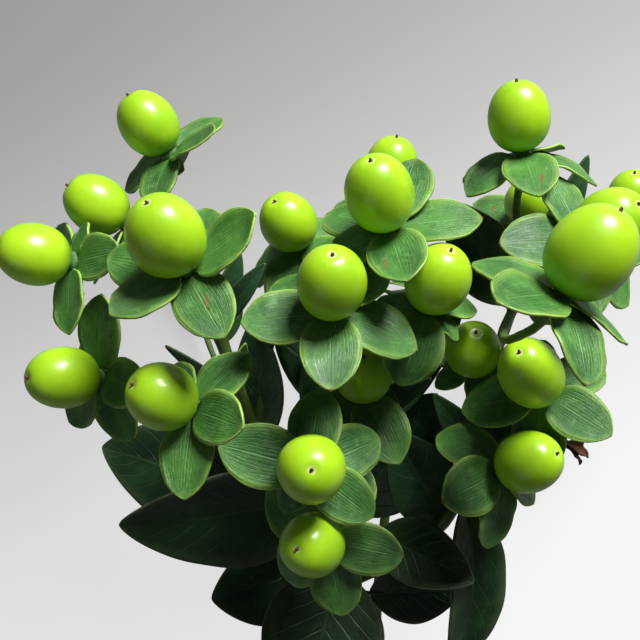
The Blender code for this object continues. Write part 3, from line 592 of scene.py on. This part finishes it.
@dataclass(frozen=True)
class CutWood:
    """The slanted cut at the stem's foot: wood that has dried brown."""

    wood: Color = (0.42, 0.4, 0.2)
    brown: Color = (0.16, 0.1, 0.04)
    dried: float = 0.9

    def material(self) -> Material:
        """The finish."""
        made, tree, shader, places = base_material("cut wood", Roughness=0.8)
        grain = tree.noise(places["Object"], 900.0, 3.0)
        colour = tree.mix(tree.ramp(grain, 0.3, 0.7, 0.0, 0.4), self.wood, self.brown)
        colour = tree.mix(self.dried, colour, self.brown)
        surface(tree, shader, colour, grain, 0.5, 0.0003)
        return made


SEPAL_TOP = BladeFinish(
    "sepal upper side", (0.024, 0.105, 0.018), (0.08, 0.245, 0.04),
    (0.22, 0.46, 0.13), (0.42, 0.64, 0.12), (0.1, 0.25, 0.04),
    VeinStyle.PARALLEL, 17.0, 0.5, 0.42, 0.7, tip=(0.22, 0.075, 0.03),
    scars=((-0.0303, 0.0963), (-0.0001, 0.1031), (0.0299, 0.1197)))
SEPAL_BACK = BladeFinish(
    "sepal under side", (0.055, 0.15, 0.04), (0.1, 0.24, 0.065),
    (0.18, 0.34, 0.12), (0.3, 0.46, 0.12), (0.16, 0.31, 0.07),
    VeinStyle.PARALLEL, 17.0, 0.4, 0.55, 0.3, 1.0, tip=(0.22, 0.075, 0.03))
# The leaf's pale edge colour is a painted highlight where its edge catches the light
LEAF_TOP = BladeFinish(
    "leaf upper side", (0.0075, 0.028, 0.009), (0.02, 0.065, 0.019),
    (0.055, 0.125, 0.045), (0.15, 0.18, 0.09), (0.05, 0.11, 0.03),
    VeinStyle.FEATHER, 9.0, 0.28, 0.42, rim=0.03)
LEAF_BACK = BladeFinish(
    "leaf under side", (0.03, 0.075, 0.03), (0.05, 0.115, 0.045),
    (0.11, 0.19, 0.09), (0.06, 0.1, 0.04), (0.09, 0.15, 0.06),
    VeinStyle.FEATHER, 9.0, 0.6, 0.55, 0.0, 1.0)
BRACT_TOP = BladeFinish(
    "small leaf upper side", (0.014, 0.052, 0.019), (0.036, 0.115, 0.045),
    (0.1, 0.2, 0.07), (0.07, 0.13, 0.04), (0.09, 0.18, 0.05),
    VeinStyle.FEATHER, 7.0, 0.35, 0.42, rim=0.05)
DRY = BladeFinish(
    "dry petal", (0.045, 0.016, 0.007), (0.15, 0.055, 0.025),
    (0.22, 0.11, 0.05), (0.09, 0.035, 0.015), (0.1, 0.06, 0.02),
    VeinStyle.PARALLEL, 7.0, 0.5, 0.7)


# Shapes


class Patch:
    """A sheet of squares, made once for each count and copied for every piece."""

    kept: dict[tuple[int, int], Mesh] = {}

    @classmethod
    def mesh(cls, columns: int, rows: int) -> Mesh:
        """A copy of the grid with this many squares across and along, with its UV."""
        if (columns, rows) not in cls.kept:
            bpy.ops.object.select_all(action="DESELECT")
            bpy.ops.mesh.primitive_grid_add(
                x_subdivisions=columns, y_subdivisions=rows, size=1.0, calc_uvs=True)
            made = bpy.context.object
            cls.kept[columns, rows] = made.data
            bpy.data.objects.remove(made)
        return cls.kept[columns, rows].copy()

    @classmethod
    def shaped(cls, name: str, columns: int, rows: int,
               place: Callable[[float, float], Vector], *finishes: Material) -> Object:
        """A new object whose grid is laid on a surface.

        Args:
            name: the object's name.
            columns: squares across.
            rows: squares along.
            place: the surface's point, in mm of the head's frame, at a share across and a
                share along.
            finishes: its materials.

        Returns:
            The object, with its place in its mesh.
        """
        mesh = cls.mesh(columns, rows)
        mesh.name = name
        flat = np.empty(len(mesh.vertices) * 3)
        mesh.vertices.foreach_get("co", flat)
        flat = flat.reshape(-1, 3) + 0.5
        points = [(place(float(u), float(v)) - MIDDLE) * MM for u, v, _ in flat]
        mesh.vertices.foreach_set("co", np.array(points).ravel())
        mesh.update()
        for finish in finishes:
            mesh.materials.append(finish)
        made = bpy.data.objects.new(name, mesh)
        bpy.context.scene.collection.objects.link(made)
        return made


def only(*objects: Object) -> None:
    """Selects these objects alone, the first one active."""
    bpy.ops.object.select_all(action="DESELECT")
    for each in objects:
        each.select_set(True)
    bpy.context.view_layer.objects.active = objects[0]


def closed(target: Object, outwards: bool = True) -> Object:
    """The same object with its meeting edges merged, and its faces pointed outwards."""
    only(target)
    bpy.ops.object.mode_set(mode="EDIT")
    bpy.ops.mesh.select_all(action="SELECT")
    bpy.ops.mesh.remove_doubles(threshold=1e-6)
    if outwards:
        bpy.ops.mesh.normals_make_consistent(inside=False)
    bpy.ops.object.mode_set(mode="OBJECT")
    return target


def finished(name: str, parts: list[Object], node: str) -> Object:
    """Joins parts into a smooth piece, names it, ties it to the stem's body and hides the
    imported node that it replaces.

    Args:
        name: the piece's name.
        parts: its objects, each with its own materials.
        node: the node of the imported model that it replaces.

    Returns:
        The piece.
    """
    only(*parts)
    bpy.ops.object.join()
    piece = bpy.context.view_layer.objects.active
    piece.name = piece.data.name = name
    bpy.ops.object.shade_smooth()
    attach(piece, "root")
    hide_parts(node)
    LOG.info("%s: %d faces", piece.name, len(piece.data.polygons))
    return piece


def smooth_route(points: list[Vector], step: float) -> list[Vector]:
    """Points about step mm apart on a smooth curve through the given ones."""
    ends = [points[0] * 2 - points[1], *points, points[-1] * 2 - points[-2]]
    route = []
    for before, start, end, after in zip(ends, ends[1:], ends[2:], ends[3:]):
        count = max(round((end - start).length / step), 2)
        for index in range(count):
            t = index / count
            route.append(0.5 * (
                2 * start + (end - before) * t
                + (2 * before - 5 * start + 4 * end - after) * t ** 2
                + (3 * start - before - 3 * end + after) * t ** 3))
    route.append(points[-1].copy())
    return route


@dataclass
class Tube:
    """A round stem along a route, with a radius at each point of it."""

    name: str
    route: list[Vector]
    radii: list[float]
    sides: int = 14

    def frames(self) -> list[tuple[Vector, Vector]]:
        """Two directions square to the route at each point, without twist."""
        found, side = [], None
        last = len(self.route) - 1
        for index in range(len(self.route)):
            ahead = self.route[min(index + 1, last)] - self.route[max(index - 1, 0)]
            ahead.normalize()
            if side is None:
                side = ahead.cross(UP).normalized()
            side = (side - ahead * side.dot(ahead)).normalized()
            found.append((side, ahead.cross(side)))
        return found

    def build(self, bark: Material, cut: Material) -> Object:
        """The stem as a closed mesh with bark, which can hold the cut's finish too."""
        frames, last = self.frames(), len(self.route) - 1

        def place(around: float, along: float) -> Vector:
            row = min(round(along * (last + 2)), last + 2)
            index = min(max(row - 1, 0), last)
            radius = 0.0 if row in (0, last + 2) else self.radii[index]
            angle = 2 * pi * around
            side, other = frames[index]
            spot = self.route[index] + (side * cos(angle) + other * sin(angle)) * radius
            spot.z = max(spot.z, 0.0)
            return spot

        return closed(Patch.shaped(self.name, self.sides, last + 2, place, bark, cut))


@dataclass
class Blade:
    """A thin arched blade: a sepal, small leaf or leaf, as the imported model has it.

    It runs from root along `along`, with its upper side facing `up`. Its slope to `along`
    goes from lift to lift + bend, in radians. cup and fold raise its edges, and wave
    ripples them, with ripples giving the size, count, phase and shift of each. stub is its
    breadth at the root, late and blunt shape its outline, and crowding sets its rows closer
    near the tip.
    """

    root: Vector
    along: Vector
    up: Vector
    length: float
    width: float
    lift: float = 0.0
    bend: float = 0.0
    cup: float = 0.0
    fold: float = 0.0
    wave: float = 0.0
    stub: float = 0.45
    late: float = 0.85
    blunt: float = 0.7
    phase: float = 0.0
    pointed: bool = False
    point_from: float = 0.8
    point_slope: float = 5.5
    crease: float = 0.012
    crease_drop: float = 0.11
    crowding: float = 1.25
    steps: int = 12
    ripples: tuple[tuple[float, float, float, float], ...] = (
        (1.0, 9.0, 1.0, 2.0), (0.25, 23.0, 2.0, 1.0))
    side: Vector = field(init=False)

    def __post_init__(self) -> None:
        """Squares the directions."""
        self.along = self.along.normalized()
        self.up = (self.up - self.along * self.up.dot(self.along)).normalized()
        self.side = self.along.cross(self.up)

    def half_width(self, share: float) -> float:
        """Half the blade's width at this share of its length."""
        body = max(sin(pi * min(share, 1.0) ** self.late), 0.0) ** self.blunt
        if self.pointed and share > self.point_from:
            straight = self.point_slope * (1.0005 - share)
            body /= (1 + (body / straight) ** 4) ** 0.25
        return self.width / 2 * max(body, self.stub * (1 - share) ** 3)

    def line(self, share: float) -> tuple[Vector, Vector]:
        """The midrib's point and the blade's normal there."""
        point = self.root.copy()
        for step in range(self.steps):
            angle = self.lift + self.bend * share * (step + 0.5) / self.steps
            point += (self.along * cos(angle) + self.up * sin(angle)) * (
                self.length * share / self.steps)
        angle = self.lift + self.bend * share
        return point, self.up * cos(angle) - self.along * sin(angle)

    def place(self, across: float, share: float) -> Vector:
        """The upper side's point at a share across and a share along."""
        off = across * 2 - 1
        share = 1 - (1 - share) ** self.crowding
        point, normal = self.line(share)
        half = self.half_width(share)
        soft = sqrt(off * off + self.crease) - self.crease_drop
        rise = half * (self.cup * off * off + self.fold * soft)
        ripple = sum(
            size * sin(share * count + self.phase * turn + (shift if off > 0 else 0.0))
            for size, count, turn, shift in self.ripples)
        rise += self.wave * abs(off) ** 1.5 * ripple * sin(pi * share)
        return point + self.side * (half * off) + normal * rise

    def build(self, name: str, columns: int, rows: int, thick: float,
              faces: tuple[Material, Material], turn: Matrix = Matrix.Identity(3),
              shift: Vector = Vector()) -> Object:
        """The blade as a thin solid with a finish on each side.

        Args:
            name: the object's name.
            columns: squares across.
            rows: squares along.
            thick: its thickness in mm.
            faces: the finishes of the upper and under side.
            turn: the turn from the blade's own frame to the head's.
            shift: the place of that frame's origin.

        Returns:
            The blade's object.
        """
        def place(across: float, share: float) -> Vector:
            return turn @ self.place(across, share) + shift

        made = closed(Patch.shaped(name, columns, rows, place, *faces), outwards=False)
        facing = made.data.polygons[len(made.data.polygons) // 2]
        if facing.normal.dot(turn @ self.up) < 0:
            made.data.flip_normals()
        only(made)
        solid = made.modifiers.new("solid", "SOLIDIFY")
        solid.thickness, solid.offset, solid.material_offset = thick * MM, -1.0, 1
        bpy.ops.object.modifier_apply(modifier=solid.name)
        return made


def turned(name: str, sides: int, rings: int, finish: Material, turn: Matrix, at: Vector,
           outline: Callable[[float, float], Point]) -> Object:
    """A closed round piece about the axis of a berry, flat where it meets the surface.

    Args:
        name: the object's name.
        sides: squares round it.
        rings: squares from foot to tip.
        finish: its material.
        turn: the berry's frame.
        at: where the axis starts.
        outline: the radius, height and shift off the axis at an angle and a share.

    Returns:
        The object.
    """
    def place(around: float, share: float) -> Vector:
        angle = 2 * pi * around
        radius, height, off = outline(angle, share)
        spot = turn @ Vector((radius * cos(angle) + off, radius * sin(angle), height)) + at
        spot.z = max(spot.z, 0.0)
        return spot

    return closed(Patch.shaped(name, sides, rings, place, finish))


# Sub-assemblies


@dataclass
class BerryWork:
    """The berries, each a plump skin with a dimple and a dry stub of the style."""

    skin: Material
    stub: Material
    sides: int = 40
    rings: int = 30
    narrowing: float = 0.05
    dimple: float = 0.4
    dimple_radius: float = 0.9
    swell: float = 0.012
    stub_long: float = 0.85
    stub_radius: float = 0.32
    stub_sunk: float = 0.45
    stub_lean: float = 0.25

    def profile(self, berry: Berry, share: float) -> tuple[float, float]:
        """Radius and height of the skin at a share of the way from foot to tip."""
        angle = pi * share
        height = -cos(angle)
        radius = berry.across / 2 * sin(angle) ** 0.9 * (1 - self.narrowing * height)
        dip = exp(-(radius / self.dimple_radius) ** 2) if height > 0 else 0.0
        return radius, berry.long / 2 * height - self.dimple * dip

    def build(self, key: str, berry: Berry) -> Object:
        """One berry in its place, flat where it rests on the surface."""
        turn, at = berry.frame(), Vector(berry.at)
        lean = self.stub_lean * sin(berry.turn + berry.at[0])

        def skin(angle: float, share: float) -> Point:
            """The skin's outline."""
            radius, height = self.profile(berry, min(max(share, 1e-4), 1 - 1e-4))
            swell = self.swell * cos(3 * angle + berry.turn) * sin(pi * share)
            return radius * (1 + swell), height, 0.0

        def stub(angle: float, share: float) -> Point:
            """The stub's outline."""
            radius = self.stub_radius * (1.15 - 0.55 * share) if 0 < share < 1 else 0.0
            height = berry.long / 2 - self.stub_sunk + self.stub_long * share
            return radius * (1 + 0.12 * cos(5 * angle)), height, lean * share ** 2

        name = f"berry_skin_{key}"
        return finished(name, [
            turned(name, self.sides, self.rings, self.skin, turn, at, skin),
            turned(f"stub_{key}", 9, 6, self.stub, turn, at, stub),
        ], f"berry_{key}")


@dataclass
class CalyxWork:
    """The calyces: five veined sepals round a small disc under each berry.

    layers gives each sepal's change of lift, its drop and its sideways tilt, and uneven how
    far a sepal's turn, length and flare stray from the rule.
    """

    upper: Material
    under: Material
    dry: Material
    hub_radius: float = 2.1
    spread: float = 0.76
    root_angle: float = 24.0
    thick: float = 0.45
    inset: float = 0.5
    cup: float = 0.1
    wave: float = 0.3
    blunt: float = 0.5
    disc_rise: float = 0.45
    disc_drop: float = 0.35
    uneven: Point = (4, 0.08, 3)
    layers: tuple[Point, ...] = (
        (7, 0.0, 0), (-8, 0.7, 0), (6, 0.0, 0), (-9, 0.7, 0), (-1, 0.35, 13))

    def sepal(self, key: str, berry: Berry, number: int) -> Blade:
        """One sepal in the calyx's own frame: origin at the berry's foot, Z to its tip."""
        lift, turn, scale = (*SHIFTED.get(key, {}).get(number, (0, 0)), 1)[:3]
        layer_lift, drop, layer_tilt = self.layers[number]
        vary = sin(GOLDEN_TURN * 3 * number + berry.turn + berry.at[0])
        angle = radians(berry.turn + 360 / 5 * number + self.uneven[0] * vary)
        root = Vector((cos(angle), sin(angle), 0.0)) * (self.hub_radius - self.inset)
        root.z = -GAP - drop
        angle += radians(turn)
        along = Vector((cos(angle), sin(angle), 0.0))
        side = Vector((-sin(angle), cos(angle), 0.0))
        tilt = radians(layer_tilt)
        up = UP * cos(tilt) + side * sin(tilt)
        up += berry.frame().transposed() @ UP * berry.facing
        length = berry.sepal * scale * (1 + self.uneven[1] * vary)
        flare = radians(berry.flare + lift + layer_lift + self.uneven[2] * vary)
        width = length * self.spread
        stub = sin(radians(self.root_angle)) * self.hub_radius * 2 / width
        return Blade(root, along, up, length + self.inset, width, flare / 2, flare, self.cup,
                     wave=self.wave, stub=stub, blunt=self.blunt, phase=vary * 3,
                     pointed=True)

    def build(self, key: str, berry: Berry) -> Object:
        """The whole calyx of one berry in its place."""
        turn, foot = berry.frame(), berry.foot()
        parts = [
            self.sepal(key, berry, number).build(
                f"sepal_{key}_{number}", 12, 18, self.thick, (self.upper, self.under),
                turn, foot)
            for number in range(5)
        ]
        top, low = self.disc_rise, -GAP - HUB_THICK - self.disc_drop

        def outline(_: float, share: float) -> Point:
            """The disc's outline."""
            radius = self.hub_radius * 0.98 * sin(pi * share) ** 0.35 if 0 < share < 1 else 0.0
            return radius, low + (top - low) * share, 0.0

        disc = turned(f"disc_{key}", 20, 8, self.under, turn, foot, outline)
        for number, scrap in enumerate(SCRAPS.get(key, ())):
            parts.append(leaf_blade(scrap, 0.6).build(
                f"scrap_{key}_{number}", 8, 12, 0.25, (self.dry, self.dry)))
        return finished(f"sepals_{key}", [*parts, disc], f"calyx_{key}")


def leaf_blade(leaf: Leaf, stub: float) -> Blade:
    """The blade of a leaf or small leaf, which bends down by its bow."""
    root, end = Vector(leaf.root), Vector(leaf.end)
    bend = -radians(leaf.bow + leaf.extra)
    length = (end - root).length * (1 + (leaf.bow / 130) ** 2)
    start = Vector(leaf.seat) if leaf.seat else root
    return Blade(start, end - root, Vector(leaf.up), length, leaf.width, -bend / 2, bend,
                 0.0, leaf.fold, leaf.wave, stub, 0.85, 0.75, leaf.root[0])


@dataclass
class LeafWork:
    """The large leaves, each with a petiole from the stem to a share of its midrib."""

    upper: Material
    under: Material
    thick: float = 0.55
    petiole: float = 0.14
    taper: float = 0.75

    def build(self, key: str, leaf: Leaf) -> Object:
        """One leaf in its place."""
        blade = leaf_blade(leaf, 0.12)
        body = blade.build(f"blade_{key}", 22, 40, self.thick, (self.upper, self.under))
        inner = blade.line(self.petiole)[0]
        route = smooth_route([Vector(leaf.root), blade.root, inner], 1.5)
        radii = [1.0 - self.taper * i / (len(route) - 1) for i in range(len(route))]
        petiole = Tube(f"petiole_{key}", route, radii, 10).build(self.under, self.under)
        return finished(f"leaf_blade_{key}", [body, petiole], f"leaf_{key}")


@dataclass
class StemWork:
    """The woody stem, its branches and stalks, and the small leaves on them.

    knots says how much the main stem and the others swell at their forks, and collar how
    much a stalk does under its berry. Leaves below young_width look like sepals.
    """

    bark: Material
    cut: Material
    upper: Material
    under: Material
    young: Material
    stalk_radius: float = 0.8
    knots: tuple[float, float] = (0.22, 0.12)
    knot_reach: float = 2.2
    collar: tuple[float, ...] = (1.9, 1.6, 1.3, 1.12)
    young_width: float = 3.5

    def branches(self) -> Object:
        """The main stem and its branches with swollen forks."""
        parts = []
        for index, (points, start, end) in enumerate(BRANCHES):
            spots = [Vector(p) for p in points]
            route = smooth_route(spots, 2.5)
            count, side = len(route) - 1, index > 0
            radii = [start + (end - start) * i / count for i in range(count + 1)]
            for i, here in enumerate(route):
                near = min((here - spot).length for spot in spots[side:])
                radii[i] *= 1 + self.knots[side] * exp(-(near / self.knot_reach) ** 2)
                radii[i] *= 1 + 0.02 * sin(i * 2.1 + index)
            if side:
                for i in range(min(4, count)):
                    radii[i] *= 1 + 0.3 * (1 - i / 4)
            for i in range(3):
                radii[-1 - i] *= 1 + 0.25 * (1 - i / 3)
            parts.append(Tube(f"branch_{index}", route, radii).build(self.bark, self.cut))
        whole = finished("stem_wood", parts, "stem")
        self.dress_cut(whole)
        return whole

    def dress_cut(self, whole: Object) -> None:
        """Gives the faces of the cut end their own finish."""
        foot = (Vector(BRANCHES[0][0][0]) - MIDDLE) * MM
        ahead = (Vector(BRANCHES[0][0][1]) - Vector(BRANCHES[0][0][0])).normalized()
        cut = whole.data.materials.find(self.cut.name)
        for face in whole.data.polygons:
            if (face.center - foot).length < 0.004 and abs(face.normal.dot(ahead)) > 0.9:
                face.material_index = cut

    def stalks(self) -> Object:
        """The stalk of every berry, up to its calyx."""
        parts = []
        for key, berry in BERRIES.items():
            back = Vector(berry.tip).normalized()
            end = berry.foot() - back * (HUB_THICK + 2 * GAP)
            points = [Vector(p) for p in STALKS[key]] + [end - back * 2.5, end]
            route = smooth_route(points, 1.6)
            route.append(berry.foot() - back * HUB_THICK)
            count = len(route) - 1
            radii = [self.stalk_radius * (1 + 0.05 * sin(i * 1.7)) for i in range(count + 1)]
            for i in range(min(3, count)):
                radii[i] *= 1.3 - 0.1 * i
            for i, more in enumerate(self.collar):
                radii[-1 - i] *= more
            parts.append(Tube(f"stalk_{key}", route, radii, 12).build(self.bark, self.bark))
        return finished("stalks", parts, "stem")

    def small_leaves(self) -> Object:
        """The small leaves along the branches and at the forks."""
        parts = []
        for index, leaf in enumerate(BRACTS):
            blade = leaf_blade(leaf, 0.3)
            upper = self.young if leaf.width < self.young_width else self.upper
            parts.append(blade.build(f"small_{index}", 12, 24, 0.5, (upper, self.under)))
        return finished("small_leaves", parts, "stem")


@dataclass
class Studio:
    """The camera of the photograph, a pale floor and soft light."""

    high: float = 250.0
    lens: float = 49.5
    # far and near are the dim and pale ends of the floor's painted fall of light
    far: Color = (0.14, 0.14, 0.136)
    near: Color = (0.77, 0.78, 0.775)

    def camera(self) -> None:
        """Looks straight down on the head."""
        made = bpy.data.objects.new("camera", bpy.data.cameras.new("camera"))
        made.data.sensor_width, made.data.lens = 36.0, self.lens
        made.data.clip_start = 0.01
        made.location = (Vector((0.0, 0.0, self.high)) - MIDDLE) * MM
        bpy.context.scene.collection.objects.link(made)
        bpy.context.scene.camera = made

    def seen(self, tree: Tree, lit: float, shown: float) -> NodeSocket:
        """A strength for the light that a thing gives off, and one for how it shows."""
        path = tree.add("ShaderNodeLightPath").outputs["Is Camera Ray"]
        return tree.ramp(path, 0.0, 1.0, lit, shown)

    def ground(self) -> None:
        """The floor that the stem lies on. It glows with a painted fall of light, dim at the
        top left and pale at the lower right.
        """
        bpy.ops.object.select_all(action="DESELECT")
        bpy.ops.mesh.primitive_grid_add(x_subdivisions=2, y_subdivisions=2, size=4.0)
        made = bpy.context.object
        made.name = "floor"
        finish, tree, shader, places = base_material(
            "pale floor", Base_Color=(0.15, 0.15, 0.147), Roughness=0.9)
        # Painted light: the floor glows dim at the top left and pale at the lower right, as
        # light falling off across a backdrop; the camera sees the glow in full, the stem gets a
        # weak share of it as light
        x, y, _ = tree.split(places["Object"])
        slope = tree.math("SUBTRACT", tree.times(x, 0.4), y)
        painted_falloff_glow = tree.mix(tree.ramp(slope, -0.24, 0.01), self.far, self.near)
        tree.feed(shader, "Emission Color", painted_falloff_glow)
        tree.feed(shader, "Emission Strength", self.seen(tree, 0.16, 1.0))
        made.data.materials.append(finish)

    def lights(self) -> None:
        """One large soft light from above the head, a weak one below, and a pale sky."""
        for name, place, size, power in (
                ("key", (0.22, 0.62, 0.45), 0.3, 8.8), ("fill", (-0.5, -0.5, 0.55), 0.7, 0.45)):
            lamp = bpy.data.lights.new(name, "AREA")
            lamp.shape, lamp.size, lamp.energy = "DISK", size, power
            made = bpy.data.objects.new(name, lamp)
            made.location = place
            aim = Vector((0.0, 0.09, 0.07)) - Vector(place)
            made.rotation_euler = aim.to_track_quat("-Z", "Y").to_euler()
            bpy.context.scene.collection.objects.link(made)
        world = bpy.data.worlds.new("sky")
        world.use_nodes = True
        tree, sky = Tree(world.node_tree), world.node_tree.nodes["Background"]
        tree.feed(sky, "Color", (0.9, 0.93, 0.95))
        tree.feed(sky, "Strength", self.seen(tree, 0.06, 0.5))
        bpy.context.scene.world = world
        bpy.context.scene.view_settings.view_transform = "Standard"


def main() -> None:
    """Builds the studio and every sub-assembly in order."""
    logging.basicConfig(level=logging.INFO, format="%(message)s")
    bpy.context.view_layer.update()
    studio = Studio()
    studio.camera()
    studio.ground()
    studio.lights()
    Veins()
    berries = BerryWork(BerrySkin().material(), StyleStub().material())
    sepal_top = SEPAL_TOP.material()
    calyces = CalyxWork(sepal_top, SEPAL_BACK.material(), DRY.material())
    leaf_under = LEAF_BACK.material()
    leaves = LeafWork(LEAF_TOP.material(), leaf_under)
    stem = StemWork(Bark().material(), CutWood().material(), BRACT_TOP.material(), leaf_under,
                    sepal_top)
    stem.branches()
    stem.stalks()
    stem.small_leaves()
    for key, leaf in LEAVES.items():
        leaves.build(key, leaf)
    for key, berry in BERRIES.items():
        calyces.build(key, berry)
        berries.build(key, berry)


if __name__ == "__main__":
    main()
